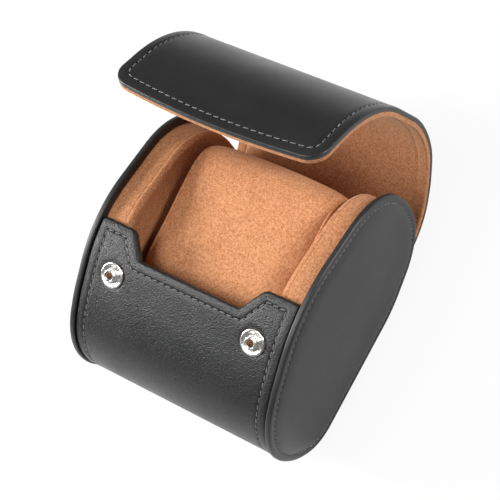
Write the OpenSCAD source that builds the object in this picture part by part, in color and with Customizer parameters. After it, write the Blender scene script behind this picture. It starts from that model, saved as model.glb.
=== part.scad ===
/* [Case] */
// Width over the rims of the two side panels
case_w = 92; // [86:1:104]
// Length from the nose to the back
case_l = 106; // [102:1:116]
// Height of the side panels at their crown
case_h = 76.4; // [74:0.2:82]

/* [Side outline] */
// From the back end to the corner where the base turns up
heel_in = 31.5; // [28:0.5:35]
// Radius of that corner
heel_r = 37; // [28:1:38]
// Height of the low back corner
low_back_z = 12.6; // [11:0.2:14]
// Radius of the low back corner
low_back_r = 28; // [25:0.5:29]
// Height of the middle corner of the back
high_back_z = 39; // [37:0.5:41]
// Radius of the middle corner of the back
high_back_r = 30; // [24:1:34]
// From the back end to the shoulder corner
shoulder_in = 5; // [3:0.5:8]
// From the top down to the shoulder corner
shoulder_drop = 8.4; // [7:0.2:10]
// Radius of the shoulder
shoulder_r = 32; // [28:0.5:33]
// Place of the crown corner, behind the middle of the base
crown_y = -7.6; // [-12:0.2:-4]
// Height of the crown corner over the top of the rounded outline
crown_rise = 2.6; // [2:0.1:4]
// Radius of the crown
crown_r = 48; // [40:1:50]
// From the front end to the slope corner
slope_in = 18.4; // [17:0.2:20]
// From the top down to the slope corner
slope_drop = 13.4; // [12:0.2:15]
// Radius of the slope corner
slope_r = 67; // [50:1:75]
// How far the nose corner stands in front of the front end
nose_out = 5; // [4:0.2:6]
// Height of the nose corner
nose_z = 44.3; // [43:0.2:46]
// Radius of the nose
nose_r = 33.5; // [30:0.5:34]
// From the front end to the chin corner
chin_in = 4.3; // [3.4:0.1:5]
// Height of the chin corner
chin_z = 13; // [12:0.2:14]
// Radius of the chin
chin_r = 37.5; // [30:0.5:39]
// From the front end to the toe corner
toe_in = 15.3; // [14:0.2:17]
// Radius of the toe
toe_r = 18; // [14:0.5:18.5]

/* [Side panels] */
// Thickness of a side panel's leather
side_leather_t = 0.8; // [0.6:0.1:1.2]
// Thickness of a side panel's board
side_board_t = 0.8; // [0.6:0.1:1.6]
// Rounding of a side panel's outer edge
rim_round = 1; // [0.4:0.1:1.2]
// Distance of the pressed seam line from a side panel's edge
seam_in = 3; // [2.4:0.1:3.4]
// Flat margin between the outline and the padded field
pad_margin = 4.2; // [4:0.1:8]
// Rise of the padded field at its middle
pad_rise = 2; // [1:0.1:4]
// Width of the leather turned in behind the board
turn_in = 8; // [5:0.5:12]
// Thickness of a filler block between a side panel and its suede
block_t = 10.4; // [7:0.2:14]
// Thickness of the suede
suede_t = 0.8; // [0.5:0.1:1.2]
// Depth of the suede rim below the side panel's edge
rim_drop = 3.6; // [3.6:0.1:3.9]
// Rounding of a block's inner edge
block_round = 2; // [1.2:0.1:2.4]

/* [Front and base shell] */
// Depth of the shell's leather below the side panels' edge
shell_sink = 0.8; // [0.4:0.1:1.2]
// Thickness of the shell's leather
shell_leather_t = 0.8; // [0.6:0.1:1]
// Thickness of the shell's board
shell_board_t = 1.4; // [1:0.1:1.6]
// Thickness of the shell's lining
shell_lining_t = 1; // [0.8:0.1:1.2]
// Clearance between the side panels and what closes between them
side_gap = 0.3; // [0.2:0.05:0.6]
// Place of the tabs' top edge, behind the middle of the base
tab_y = -6.2; // [-9:0.2:-4]
// Depth of the notch between the tabs
notch_depth = 10; // [6:0.5:12]
// Width of the notch at the bottom
notch_low_w = 44.6; // [36:0.2:46]
// Width of the notch at the tabs' top edge
notch_top_w = 58; // [50:0.5:60]

/* [Lid] */
// Thickness of the lid's leather
lid_leather_t = 1.2; // [0.8:0.1:1.4]
// Thickness of the stiffener boards in the lid
lid_board_t = 0.8; // [0.6:0.1:1]
// Thickness of the padded suede lining, with the boards in it
lid_lining_t = 2.6; // [2.4:0.1:3]
// Distance of the boards from the lid's edges
lid_board_in = 3; // [2:0.5:6]
// Height of the closed lid over the side panels' edge at the back
lid_rise = 0.5; // [0.5:0.1:0.9]
// Extra height of the closed lid's crown, to clear the tabs
lid_crown_rise = 0.6; // [0.4:0.1:1.2]
// Clearance between the front shell and the closed lid
snap_gap = 0.9; // [0.8:0.1:1.5]
// Direction of the hinge fold from the middle of the low back curve
hinge_angle = 298; // [295:0.5:302]
// Direction of the upper fold from the middle of the shoulder curve
fold_angle = 49; // [44:1:56]
// Half of the bare leather at a fold
fold_bare = 1.2; // [1:0.1:1.5]
// Clearance round the fold rolls
fold_gap = 0.3; // [0.2:0.05:0.4]
// Turn of the lid's back about the hinge fold from closed to its stored pose
back_open = 39; // [0:1:45]
// Turn of the flap about the upper fold from closed to its stored pose
flap_open = 19; // [0:1:30]
// From the snap centres to the middle of the flap's front edge
flap_reach = 19.3; // [14:0.1:21]
// Bow of the flap's front edge
flap_bow = 3; // [0:0.5:6]
// Radius of the flap's front corners
flap_corner_r = 8; // [4:0.5:12]

/* [Snaps] */
// Distance between the two snaps
snap_pitch = 62.6; // [60:0.2:68]
// Place of the snaps, behind the middle of the base
snap_y = -24.3; // [-26:0.1:-22]
// Radius of a stud's flange
flange_r = 4.95; // [4.5:0.05:5.4]
// Radius of a stud's head
head_r = 2.4; // [2.2:0.05:2.6]
// Radius of the hole down a stud
stud_hole_r = 1.75; // [1.5:0.05:1.8]
// Depth of a stud's flange pressed into the leather
stud_press = 0.4; // [0.3:0.05:0.5]
// Clearance between a stud's head and its socket
snap_clear = 0.3; // [0.3:0.05:0.4]

/* [Pillow] */
// Room between the pillow and each block
pillow_side_gap = 3.2; // [2.2:0.1:8]
// Length of the pillow from front to back
pillow_l = 65; // [50:0.5:65]
// Height of the pillow
pillow_h = 50; // [40:0.5:50]
// Place of the pillow's middle, behind the middle of the base
pillow_y = 13.7; // [12:0.1:15]
// Lean of the pillow, up toward the back
pillow_lean = 5.5; // [4:0.5:7]
// Rounding of the pillow's two upper long edges
pillow_top_round = 18; // [12:0.5:24]
// Rounding of the pillow's two lower long edges
pillow_low_round = 25; // [24.5:0.5:25]
// How far the pillow's sides draw in at its end seams
pillow_draw = 2.6; // [0.5:0.1:5]
// Height of the cord piped round its end seams
pillow_piping = 0.7; // [0.3:0.1:1.2]
// Thickness of the cover and its wadding over the core
pillow_cover_t = 5; // [4:0.5:8]
// Clearance under the pillow
pillow_gap = 0.3; // [0.3:0.05:0.6]

/* [Hidden] */
$fn = 144;

LEFT = -1;
RIGHT = 1;
FAR = 300;
ring_step = 8;
hair = 0.002;
run_on = 1.2;
LEATHER = [0.13, 0.13, 0.14];
SUEDE = [0.76, 0.5, 0.32];
BOARD = [0.62, 0.55, 0.45];
FOAM = [0.9, 0.88, 0.82];
NICKEL = [0.8, 0.8, 0.8];

// Corners of the side outline as [y, z], from the heel up the back, over the top and down the front
HEEL = 0;
LOW_BACK = 1;
SHOULDER = 3;
CROWN = 4;
SLOPE = 5;
NOSE = 6;
front_y = -case_l / 2;
back_y = case_l / 2;
back_lean = 0.3;
corners = [
    [back_y - heel_in, 0],
    [back_y + back_lean, low_back_z],
    [back_y, high_back_z],
    [back_y - shoulder_in, case_h - shoulder_drop],
    [crown_y, case_h + crown_rise],
    [front_y + slope_in, case_h - slope_drop],
    [front_y - nose_out, nose_z],
    [front_y + chin_in, chin_z],
    [front_y + toe_in, 0]
];
radii = [heel_r, low_back_r, high_back_r, shoulder_r, crown_r, slope_r, nose_r, chin_r, toe_r];

function polar(a) = [cos(a), sin(a)];
function before(list, i) = (i + len(list) - 1) % len(list);
function heading(v, i) = let (d = v[(i + 1) % len(v)] - v[i]) atan2(d[1], d[0]);
function degrees(length, radius) = length / radius * 180 / PI;

// Corners moved outward, each by its own distance, off both of the edges that meet there
function lifted(v, rise) = [
    for (i = [0 : len(v) - 1])
        let (
            n1 = polar(heading(v, before(v, i)) - 90),
            n2 = polar(heading(v, i) - 90),
            c1 = n1 * v[i] + rise[i],
            c2 = n2 * v[i] + rise[i]
        )
        [c1 * n2[1] - c2 * n1[1], n1[0] * c2 - n2[0] * c1] / cross(n1, n2)
];

// The arcs that round the corners, each as [centre, radius, direction it starts in, turn]
function arcs(v, r) = [
    for (i = [0 : len(v) - 1])
        let (
            come = heading(v, before(v, i)),
            turn = (heading(v, i) - come + 720) % 360,
            start = v[i] - r[i] * tan(turn / 2) * polar(come)
        )
        [start - r[i] * polar(come - 90), r[i], (come + 270) % 360, turn]
];

function on_arc(arc, a, d = 0) = arc[0] + (arc[1] + d) * polar(a);

outline = arcs(corners, radii);

// The lid's outer face when closed: low at the back, and over the front shell from the crown on
lid_t = lid_leather_t + lid_lining_t;
lid_front_rise = snap_gap + lid_t - shell_sink;
lid_rises = [
    for (i = [0 : len(corners) - 1])
        i == CROWN ? lid_front_rise + lid_crown_rise : i > CROWN && i <= NOSE ? lid_front_rise : lid_rise
];
lid_line = arcs(lifted(corners, lid_rises), radii + lid_rises);

shell_t = shell_leather_t + shell_board_t + shell_lining_t;
shell_in = shell_sink + shell_t;
panel_t = 2 * side_leather_t + side_board_t;
panel_x = case_w / 2 - panel_t;
half_w = panel_x - side_gap;
block_x = panel_x - block_t;
tab_angle = acos((tab_y - outline[CROWN][0][0]) / outline[CROWN][1]);
flap_end = lid_line[NOSE][2] + degrees(nose_r, nose_r) / 2;

// Fold rolls: the hinge fold's middle and the upper fold's middle, with the lid closed
roll_r = shell_t / 2;
hinge_mid = on_arc(outline[LOW_BACK], hinge_angle, -(shell_sink + roll_r));
fold_mid = on_arc(lid_line[SHOULDER], fold_angle, -lid_t / 2);

// The snap's frame: on the leather of the front slope, square to it
snap_side_angle = outline[SLOPE][2];
snap_foot = let (
    from = on_arc(outline[CROWN], snap_side_angle),
    run = polar(snap_side_angle + 90)
) from + run * (snap_y - from[0]) / run[0] - shell_sink * polar(snap_side_angle);
slope_heading = outline[SLOPE][2] + outline[SLOPE][3] / 2 + 90;

// Turns a drawing in (y, z), and what stands on it, up into the case's frame
module side_view() {
    rotate([90, 0, 90]) children();
}

module on_side(side) {
    if (side == LEFT) mirror([1, 0, 0]) children();
    else children();
}

// The area inside a line of arcs, moved outward by d. Each arc runs on a little past its end, and the
// straights lie a hair inside it, so that the two cross cleanly
module area(line, d) {
    polygon([
        for (arc = line)
            each [on_arc(arc, arc[2], d - hair), on_arc(arc, arc[2] + arc[3], d - hair)]
    ]);
    for (arc = line) {
        r = arc[1] + d;
        over = degrees(run_on, r);
        intersection() {
            translate(arc[0]) circle(r);
            translate(arc[0]) polygon(concat(
                [[0, 0]],
                [for (k = [0 : 3]) 2 * r * polar(arc[2] - over + (arc[3] + 2 * over) * k / 3)]
            ));
        }
    }
}

// Everything from one direction round to another, each seen from the middle of its own arc
module sector(line, first, from, last, to) {
    steps = 8;
    polygon(concat(
        [line[first][0], line[first][0] + FAR * polar(from)],
        [for (k = [1 : steps - 1]) 2 * FAR * polar(from + (to - from) * k / steps)],
        [line[last][0] + FAR * polar(to), line[last][0]]
    ));
}

// Stands a drawing in (y, z) up across the case, from x0 to x1
module across(x0, x1) {
    translate([x0, 0, 0]) side_view() linear_extrude(x1 - x0) children();
}

// A layer of a wall between two depths below its line, as wide as twice half
module layer(line, first, from, last, to, top, bottom, half) {
    across(-half, half) intersection() {
        difference() {
            area(line, -top);
            area(line, -bottom);
        }
        sector(line, first, from, last, to);
    }
}

module plate(d, x0, x1) {
    across(x0, x1) area(outline, d);
}

// One ring of a soft form: the outline moved outward by d, then drawn in toward the middle
function ring(x, d, draw = 0) = [
    for (arc = outline)
        let (n = max(1, ceil(arc[3] / ring_step)))
        for (k = [0 : n])
            let (p = on_arc(arc, arc[2] + arc[3] * k / n, d))
            [x, p[0] * (1 - draw), p[1] * (1 - draw) + case_h / 2 * draw]
];

// Closes a run of rings, given from low x outward, into a solid
module loft(rings) {
    n = len(rings[0]);
    m = len(rings);
    polyhedron(
        points = [for (r = rings) each r],
        faces = concat(
            [[for (i = [0 : n - 1]) i]],
            [
                for (j = [0 : m - 2]) for (i = [0 : n - 1])
                    each [
                        [j * n + i, (j + 1) * n + i, (j + 1) * n + (i + 1) % n],
                        [j * n + i, (j + 1) * n + (i + 1) % n, j * n + (i + 1) % n]
                    ]
            ],
            [[for (i = [0 : n - 1]) (m - 1) * n + n - 1 - i]]
        )
    );
}

module roll(mid, r, half) {
    across(-half, half) translate(mid) circle(r);
}

// ---- Front and base shell: leather outside and round the edges, board and lining within

// The notch between the tabs, grown on all sides
module notch(grow) {
    flare = atan((notch_top_w - notch_low_w) / 2 / notch_depth);
    low = notch_low_w / 2 + grow * (1 / cos(flare) - tan(flare));
    top = low + (notch_depth + grow + notch_depth) * tan(flare);
    notch_heading = tab_angle + degrees(notch_depth / 2, crown_r) + 90;
    foot = on_arc(outline[CROWN], tab_angle);
    translate([0, foot[0], foot[1]]) rotate([notch_heading, 0, 0])
        linear_extrude(4 * shell_t, center = true) polygon([
            [-low, notch_depth + grow], [low, notch_depth + grow],
            [top, -notch_depth], [-top, -notch_depth]
        ]);
}

// From the tabs round the nose and along the base to the hinge fold
module shell_layer(top, bottom, inset) {
    difference() {
        layer(
            outline, CROWN, tab_angle + degrees(inset, crown_r),
            LOW_BACK, hinge_angle - degrees(fold_bare, low_back_r),
            top, bottom, half_w - inset
        );
        notch(inset);
        roll(hinge_mid, roll_r, half_w + side_gap);
    }
}

module shell_leather() {
    color(LEATHER) difference() {
        shell_layer(shell_sink, shell_in, 0);
        shell_layer(shell_sink + shell_leather_t, shell_in + 1, shell_leather_t);
        for (side = [LEFT, RIGHT]) on_side(side) at_snap() {
            translate([0, 0, -stud_press]) cylinder(r = flange_r, h = 2);
            translate([0, 0, -shell_t]) cylinder(r = barrel_r, h = shell_t);
        }
    }
}

module shell_board() {
    color(BOARD) difference() {
        shell_layer(
            shell_sink + shell_leather_t, shell_sink + shell_leather_t + shell_board_t, shell_leather_t
        );
        for (side = [LEFT, RIGHT]) on_side(side) at_snap()
            union() {
                translate([0, 0, -shell_t]) cylinder(r = barrel_r, h = 2 * shell_t);
                translate([0, 0, rivet_low - 1]) cylinder(r = rivet_r, h = 1 + rivet_t);
            }
    }
}

module shell_lining() {
    color(SUEDE) difference() {
        shell_layer(shell_in - shell_lining_t, shell_in, shell_leather_t);
        for (side = [LEFT, RIGHT]) on_side(side) at_snap()
            translate([0, 0, rivet_low]) cylinder(r = rivet_r, h = shell_t);
    }
}

module hinge_fold() {
    color(LEATHER) roll(hinge_mid, roll_r, half_w);
}

// ---- Side panels: leather round a board and a foam pad

rim_x = case_w / 2;
board_x = panel_x + side_leather_t;
pad_x = board_x + side_board_t;
seam_press = 0.25;
seam_half = 0.5;
field_in = pad_margin + 3.4;

// The padded field over the flat rim, as [distance in from the edge, draw toward the middle, share of the rise]
field = [
    [pad_margin, 0, 0],
    [pad_margin + 1, 0, 0.3],
    [field_in, 0, 0.56],
    [field_in, 0.2, 0.78],
    [field_in, 0.48, 0.94],
    [field_in, 0.78, 1]
];

module side_leather() {
    steps = 3;
    color(LEATHER) difference() {
        loft(concat(
            [ring(panel_x, 0), ring(rim_x - rim_round, 0)],
            [
                for (k = [1 : steps])
                    let (a = 90 * k / steps)
                    ring(rim_x - rim_round * (1 - sin(a)), -rim_round * (1 - cos(a)))
            ],
            [ring(rim_x, seam_half - seam_in), ring(rim_x - seam_press, -seam_in)],
            [ring(rim_x, -seam_half - seam_in)],
            [for (f = field) ring(rim_x + pad_rise * f[2], -f[0], f[1])]
        ));
        plate(-side_leather_t, board_x, pad_x);
        pad_form(pad_x - side_board_t / 2);
        plate(-turn_in, panel_x - 1, pad_x - side_board_t / 2);
    }
}

module pad_form(low) {
    loft(concat([ring(low, -field[0][0])], [for (f = field) ring(pad_x + pad_rise * f[2], -f[0], f[1])]));
}

module side_board() {
    color(BOARD) plate(-side_leather_t, board_x, pad_x);
}

module side_pad() {
    color(FOAM) pad_form(pad_x);
}

// ---- Filler blocks and their suede

rim_in = rim_drop + suede_t;

module block() {
    color(FOAM) union() {
        plate(-rim_in, block_x + suede_t, panel_x);
        plate(-turn_in, panel_x - 1, board_x);
    }
}

// The suede lies on the block's inner face and rolls over its rim, let in under the shell and the fold
module block_suede() {
    steps = 3;
    color(SUEDE) difference() {
        loft(concat(
            [
                for (k = [0 : steps])
                    let (a = 90 * k / steps)
                    ring(block_x + block_round * (1 - cos(a)), -rim_drop - block_round * (1 - sin(a)))
            ],
            [ring(panel_x, -rim_drop)]
        ));
        plate(-rim_in, block_x + suede_t, panel_x + 1);
        across(block_x - 1, panel_x + 1) intersection() {
            difference() {
                area(outline, 1);
                area(outline, -shell_in);
            }
            sector(
                outline, CROWN, tab_angle - degrees(fold_gap, crown_r),
                LOW_BACK, hinge_angle + degrees(roll_r + 2 * fold_gap, low_back_r)
            );
        }
    }
}

// ---- Lid: a back and a flap, each of leather, board and padded lining

module lid_back_layer(top, bottom, inset) {
    difference() {
        layer(
            lid_line, LOW_BACK, hinge_angle + degrees(fold_bare + inset, low_back_r),
            SHOULDER, 360 + fold_angle - degrees(fold_bare + inset, shoulder_r),
            top, bottom, half_w - inset
        );
        roll(hinge_mid, roll_r + fold_gap, half_w + 1);
        roll(fold_mid, lid_t / 2, half_w + 1);
    }
}

// A punched hole: many flats round a circle of radius r
module punch(r, h) {
    flats = 36;
    linear_extrude(h) polygon([for (k = [1 : flats]) r / cos(180 / flats) * polar(360 * k / flats)]);
}

// Outline of the flap's front, in (x, distance down the slope from the snaps)
module flap_front(inset) {
    w = half_w - inset;
    r = flap_corner_r - inset / 2;
    reach = flap_reach - inset;
    bow = flap_bow / pow(w, 2);
    in_w = w - r;
    corner_y = reach - bow * pow(in_w, 2) - r;
    steps = 6;
    polygon(concat(
        [[w, -FAR]],
        [for (k = [0 : steps]) [in_w, corner_y] + r * polar(90 * k / steps)],
        [for (k = [1 : 2 * steps - 1]) let (x = in_w * (1 - k / steps)) [x, reach - bow * pow(x, 2)]],
        [for (k = [steps : 2 * steps]) [-in_w, corner_y] + r * polar(90 * k / steps)],
        [[-w, -FAR]]
    ));
}

module flap_layer(top, bottom, inset) {
    difference() {
        intersection() {
            layer(
                lid_line, SHOULDER, fold_angle + degrees(fold_bare + inset, shoulder_r),
                NOSE, flap_end, top, bottom, half_w - inset
            );
            translate([0, snap_foot[0], snap_foot[1]]) rotate([slope_heading, 0, 0])
                linear_extrude(FAR, center = true) flap_front(inset);
        }
        roll(fold_mid, lid_t / 2 + fold_gap, half_w + 1);
    }
}

// Turns about a fold, from closed to the stored open pose
module turned(mid, angle) {
    translate([0, mid[0], mid[1]]) rotate([-angle, 0, 0]) translate([0, -mid[0], -mid[1]]) children();
}

module back_stored() {
    turned(hinge_mid, back_open) children();
}

module flap_stored() {
    back_stored() turned(fold_mid, flap_open) children();
}

module lid_back_leather() {
    color(LEATHER) back_stored() lid_back_layer(0, lid_leather_t, 0);
}

module lid_back_board() {
    color(BOARD) back_stored() lid_back_layer(lid_leather_t, lid_leather_t + lid_board_t, lid_board_in);
}

module lid_back_lining() {
    color(SUEDE) back_stored() difference() {
        lid_back_layer(lid_leather_t, lid_t, 0);
        lid_back_layer(lid_leather_t - 1, lid_leather_t + lid_board_t, lid_board_in);
    }
}

module flap_fold() {
    color(LEATHER) back_stored() roll(fold_mid, lid_t / 2, half_w);
}

module flap_leather() {
    color(LEATHER) flap_stored() difference() {
        flap_layer(0, lid_leather_t, 0);
        for (side = [LEFT, RIGHT]) on_side(side) at_snap()
            translate([0, 0, cap_z - 1]) punch(cap_r, 1 + cap_t);
    }
}

module flap_board() {
    color(BOARD) flap_stored() difference() {
        flap_layer(lid_leather_t, lid_leather_t + lid_board_t, lid_board_in);
        for (side = [LEFT, RIGHT]) on_side(side) at_snap() {
            punch(cup_r, 2 * lid_t);
            translate([0, 0, cap_z]) punch(cap_r, lid_t);
        }
    }
}

module flap_lining() {
    color(SUEDE) flap_stored() difference() {
        flap_layer(lid_leather_t, lid_t, 0);
        flap_layer(lid_leather_t - 1, lid_leather_t + lid_board_t, lid_board_in);
        for (side = [LEFT, RIGHT]) on_side(side) at_snap() {
            punch(cup_r, 2 * lid_t);
            punch(flange_r, snap_gap + cup_flange_t);
        }
    }
}

// ---- Snaps: a stud riveted to the front shell, and a sprung socket riveted into the flap

barrel_r = 1.7;
barrel_wall = 0.35;
rivet_r = 3.6;
rivet_t = 0.4;
rivet_low = -(shell_leather_t + shell_board_t + rivet_t);
flange_top = 0.6;
neck_r = head_r - 0.2;
head_low = 1.2;
head_top = 2.3;
cup_r = flange_r - 0.9;
cup_flange_t = 0.3;
cup_top = snap_gap + lid_lining_t - 0.2;
cap_z = snap_gap + lid_lining_t;
cap_r = flange_r + 0.3;
cap_t = 0.3;
stem_r = 0.95;
wire_r = 0.18;
wire_z = snap_gap + 0.7;

// z is up from the leather of the front slope, at the right-hand snap
module at_snap() {
    translate([snap_pitch / 2, snap_foot[0], snap_foot[1]]) rotate([snap_side_angle - 90, 0, 0])
        children();
}

// A dished flange and a hollow head with a bead round it
module stud() {
    color(NICKEL) at_snap() rotate_extrude() polygon([
        [stud_hole_r, -stud_press],
        [flange_r, -stud_press],
        [flange_r, 0.15],
        [flange_r - 0.2, flange_top - 0.12],
        [flange_r - 0.6, flange_top],
        [flange_r - 1.1, flange_top - 0.12],
        [head_r + 0.7, 0.2],
        [neck_r + 0.25, 0.2],
        [neck_r, 0.45],
        [neck_r, head_low - 0.3],
        [head_r, head_low],
        [head_r, head_top - 0.4],
        [head_r - 0.25, head_top - 0.08],
        [head_r - 0.45, head_top],
        [stud_hole_r, head_top - 0.15]
    ]);
}

// A tube up the stud's hole, with its flange behind the board
module stud_rivet() {
    color(NICKEL) at_snap() difference() {
        union() {
            translate([0, 0, rivet_low]) cylinder(r = rivet_r, h = rivet_t);
            translate([0, 0, rivet_low]) cylinder(r = barrel_r, h = head_top - 0.5 - rivet_low);
        }
        translate([0, 0, rivet_low - 1]) cylinder(r = barrel_r - barrel_wall, h = FAR);
    }
}

// A cup with a flange flush in the lining, and a groove for the spring
module socket() {
    cup_in = head_r + snap_clear;
    color(NICKEL) flap_stored() at_snap() rotate_extrude() polygon([
        [cup_in, snap_gap],
        [flange_r, snap_gap],
        [flange_r, snap_gap + cup_flange_t],
        [cup_r, snap_gap + cup_flange_t],
        [cup_r, cup_top],
        [stem_r, cup_top],
        [stem_r, cup_top - 0.4],
        [cup_in, cup_top - 0.4],
        [cup_in, wire_z + 0.3],
        [cup_in + 0.5, wire_z + 0.3],
        [cup_in + 0.5, wire_z - 0.3],
        [cup_in, wire_z - 0.3]
    ]);
}

// A flat head between the lining and the leather, with a stem into the cup
module socket_rivet() {
    color(NICKEL) flap_stored() at_snap() union() {
        translate([0, 0, cap_z]) cylinder(r = cap_r, h = cap_t);
        translate([0, 0, cup_top - 0.4]) cylinder(r = stem_r, h = cap_z - cup_top + 0.5);
    }
}

// A split ring of wire in the cup's groove
module socket_spring() {
    color(NICKEL) flap_stored() at_snap() translate([0, 0, wire_z])
        rotate_extrude(angle = 320) translate([head_r + snap_clear + wire_r, 0]) circle(wire_r, $fn = 24);
}

// ---- Pillow: a foam core in a wadded suede cover with piped end seams

pillow_w = 2 * (block_x - pillow_side_gap);
pillow_z = shell_in + pillow_gap + pillow_h / 2 + 1.4;
core_w = pillow_w - 2 * pillow_cover_t;
pillow_quarters = [
    [1, 1, pillow_top_round],
    [-1, 1, pillow_top_round],
    [-1, -1, pillow_low_round],
    [1, -1, pillow_low_round]
];

// One ring of the cover: a rounded rectangle in (y, z), set in from the full section
function pillow_ring(x, inset) = let (steps = 5) [
    for (q = [0 : 3])
        let (
            m = pillow_quarters[q],
            r = m[2] - inset / 2,
            mid = [m[0] * (pillow_l / 2 - inset - r), m[1] * (pillow_h / 2 - inset - r)]
        )
        for (k = [0 : steps])
            let (p = mid + r * polar(90 * (q + k / steps)))
            [x, p[0], p[1]]
];

crown_steps = 7;
pillow_end_round = 2.5;
pillow_end_in = 9;
seam_x = pillow_w / 2 - 2.2;
field_x = seam_x - 0.9;

module pillow_form() {
    loft(concat(
        [
            pillow_ring(-pillow_w / 2, pillow_draw + pillow_end_in),
            pillow_ring(-pillow_w / 2 + 0.5, pillow_draw + pillow_end_round)
        ],
        [pillow_ring(-seam_x - 0.9, pillow_draw), pillow_ring(-seam_x, pillow_draw - pillow_piping)],
        [
            for (k = [-crown_steps : crown_steps])
                pillow_ring(field_x * k / crown_steps, pillow_draw * pow(abs(k / crown_steps), 2.6))
        ],
        [pillow_ring(seam_x, pillow_draw - pillow_piping), pillow_ring(seam_x + 0.9, pillow_draw)],
        [
            pillow_ring(pillow_w / 2 - 0.5, pillow_draw + pillow_end_round),
            pillow_ring(pillow_w / 2, pillow_draw + pillow_end_in)
        ]
    ));
}

module pillow_place() {
    translate([0, pillow_y, pillow_z]) rotate([pillow_lean, 0, 0]) children();
}

module core_form() {
    across(-core_w / 2, core_w / 2) {
        union() {
            for (m = pillow_quarters) {
                r = m[2] - pillow_cover_t;
                hy = pillow_l / 2 - pillow_cover_t - r;
                hz = pillow_h / 2 - pillow_cover_t - r;
                translate([m[0] * hy, m[1] * hz]) circle(r);
            }
            polygon([
                for (q = [0 : 3])
                    let (
                        m = pillow_quarters[q],
                        r = m[2] - pillow_cover_t,
                        c = [
                            m[0] * (pillow_l / 2 - pillow_cover_t - r),
                            m[1] * (pillow_h / 2 - pillow_cover_t - r)
                        ]
                    )
                    each [c + r * polar(90 * q), c + r * polar(90 * q + 90)]
            ]);
        }
    }
}

module pillow_cover() {
    color(SUEDE) pillow_place() difference() {
        pillow_form();
        core_form();
    }
}

module pillow_core() {
    color(FOAM) pillow_place() core_form();
}

shell_leather();
shell_board();
shell_lining();
hinge_fold();
on_side(LEFT) side_leather();  // side_leather_left
on_side(RIGHT) side_leather();  // side_leather_right
on_side(LEFT) side_board();  // side_board_left
on_side(RIGHT) side_board();  // side_board_right
on_side(LEFT) side_pad();  // side_pad_left
on_side(RIGHT) side_pad();  // side_pad_right
on_side(LEFT) block();  // block_left
on_side(RIGHT) block();  // block_right
on_side(LEFT) block_suede();  // block_suede_left
on_side(RIGHT) block_suede();  // block_suede_right
on_side(LEFT) stud();  // stud_left
on_side(RIGHT) stud();  // stud_right
on_side(LEFT) stud_rivet();  // stud_rivet_left
on_side(RIGHT) stud_rivet();  // stud_rivet_right
lid_back_leather();
lid_back_board();
lid_back_lining();
flap_fold();
flap_leather();
flap_board();
flap_lining();
on_side(LEFT) socket();  // socket_left
on_side(RIGHT) socket();  // socket_right
on_side(LEFT) socket_rivet();  // socket_rivet_left
on_side(RIGHT) socket_rivet();  // socket_rivet_right
on_side(LEFT) socket_spring();  // socket_spring_left
on_side(RIGHT) socket_spring();  // socket_spring_right
pillow_cover();
pillow_core();
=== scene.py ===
import math

import bmesh
import bpy
import numpy as np
from mathutils import Matrix, Vector
from mathutils.bvhtree import BVHTree


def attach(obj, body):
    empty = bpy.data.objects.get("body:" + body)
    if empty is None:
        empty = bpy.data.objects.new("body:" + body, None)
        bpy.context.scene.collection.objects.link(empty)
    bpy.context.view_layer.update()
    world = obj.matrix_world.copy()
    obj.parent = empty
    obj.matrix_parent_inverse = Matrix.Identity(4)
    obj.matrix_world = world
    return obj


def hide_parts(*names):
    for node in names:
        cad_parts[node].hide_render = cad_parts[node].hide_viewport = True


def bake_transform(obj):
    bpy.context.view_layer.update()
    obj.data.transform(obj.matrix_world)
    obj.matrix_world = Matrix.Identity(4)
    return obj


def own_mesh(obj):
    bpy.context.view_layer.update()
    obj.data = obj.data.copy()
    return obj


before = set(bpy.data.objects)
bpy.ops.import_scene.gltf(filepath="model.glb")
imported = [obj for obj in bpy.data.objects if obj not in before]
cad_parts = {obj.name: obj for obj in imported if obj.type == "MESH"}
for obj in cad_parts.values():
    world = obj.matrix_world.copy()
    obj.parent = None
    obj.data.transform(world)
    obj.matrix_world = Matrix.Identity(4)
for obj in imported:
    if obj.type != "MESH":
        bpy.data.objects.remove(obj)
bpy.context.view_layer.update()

# ---- Side panels ------------------------------------------------------------------------------------
# Two boards with a thin wadded field, covered in one piece of calf leather each. The leather is rolled
# round the board's edge, pasted down behind it, and sewn through along a pressed line inside the rim.

MM = 0.001
CORNERS = [
    (21.5, 0), (53.3, 12.6), (53, 39), (48, 68), (-7.6, 79),
    (-34.6, 63), (-58, 44.3), (-48.7, 13), (-37.7, 0),
]
RADII = [37, 28, 30, 32, 48, 67, 33.5, 37.5, 18]
LOW_BACK, SHOULDER, CROWN, SLOPE, NOSE = 1, 3, 4, 5, 6
RIM_X = 46
PANEL_X = 43.6
FIELD_MIDDLE = np.array([0, 38.2])
SEAM_IN = 3.1
SEAM_DIP = 0.3
SEAM_SHAPE = [(-0.75, 0.02), (-0.4, 0.1), (-0.15, 0.24), (0, SEAM_DIP), (0.15, 0.24), (0.4, 0.05)]
TURNED_IN, TURNED_T = 8, 0.7
BACK_ROUND, RIM_ROUND = 0.5, 1.1
FIELD_IN, FIELD_RISE, CROWN_RISE = 7.2, 0.86, 1.14
FIELD_SHAPE = [(4.0, 0.2), (4.8, 0.42), (5.8, 0.64), (FIELD_IN, FIELD_RISE)]


def polar(degrees):
    """Directions in the side view: 0 is toward the back, and 90 is up."""
    a = np.radians(degrees)
    return np.stack([np.cos(a), np.sin(a)], axis=-1)


def rounded(corners, radii):
    """The arcs (centre, radius, first direction, turn) that round a closed line's corners."""
    corners = np.array(corners, float)
    runs = np.roll(corners, -1, 0) - corners
    headings = np.degrees(np.arctan2(runs[:, 1], runs[:, 0]))
    found = []
    for i, radius in enumerate(radii):
        come = headings[i - 1]
        turn = (headings[i] - come + 720) % 360
        start = corners[i] - radius * math.tan(math.radians(turn / 2)) * polar(come)
        found.append((start - radius * polar(come - 90), radius, (come + 270) % 360, turn))
    return found


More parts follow.
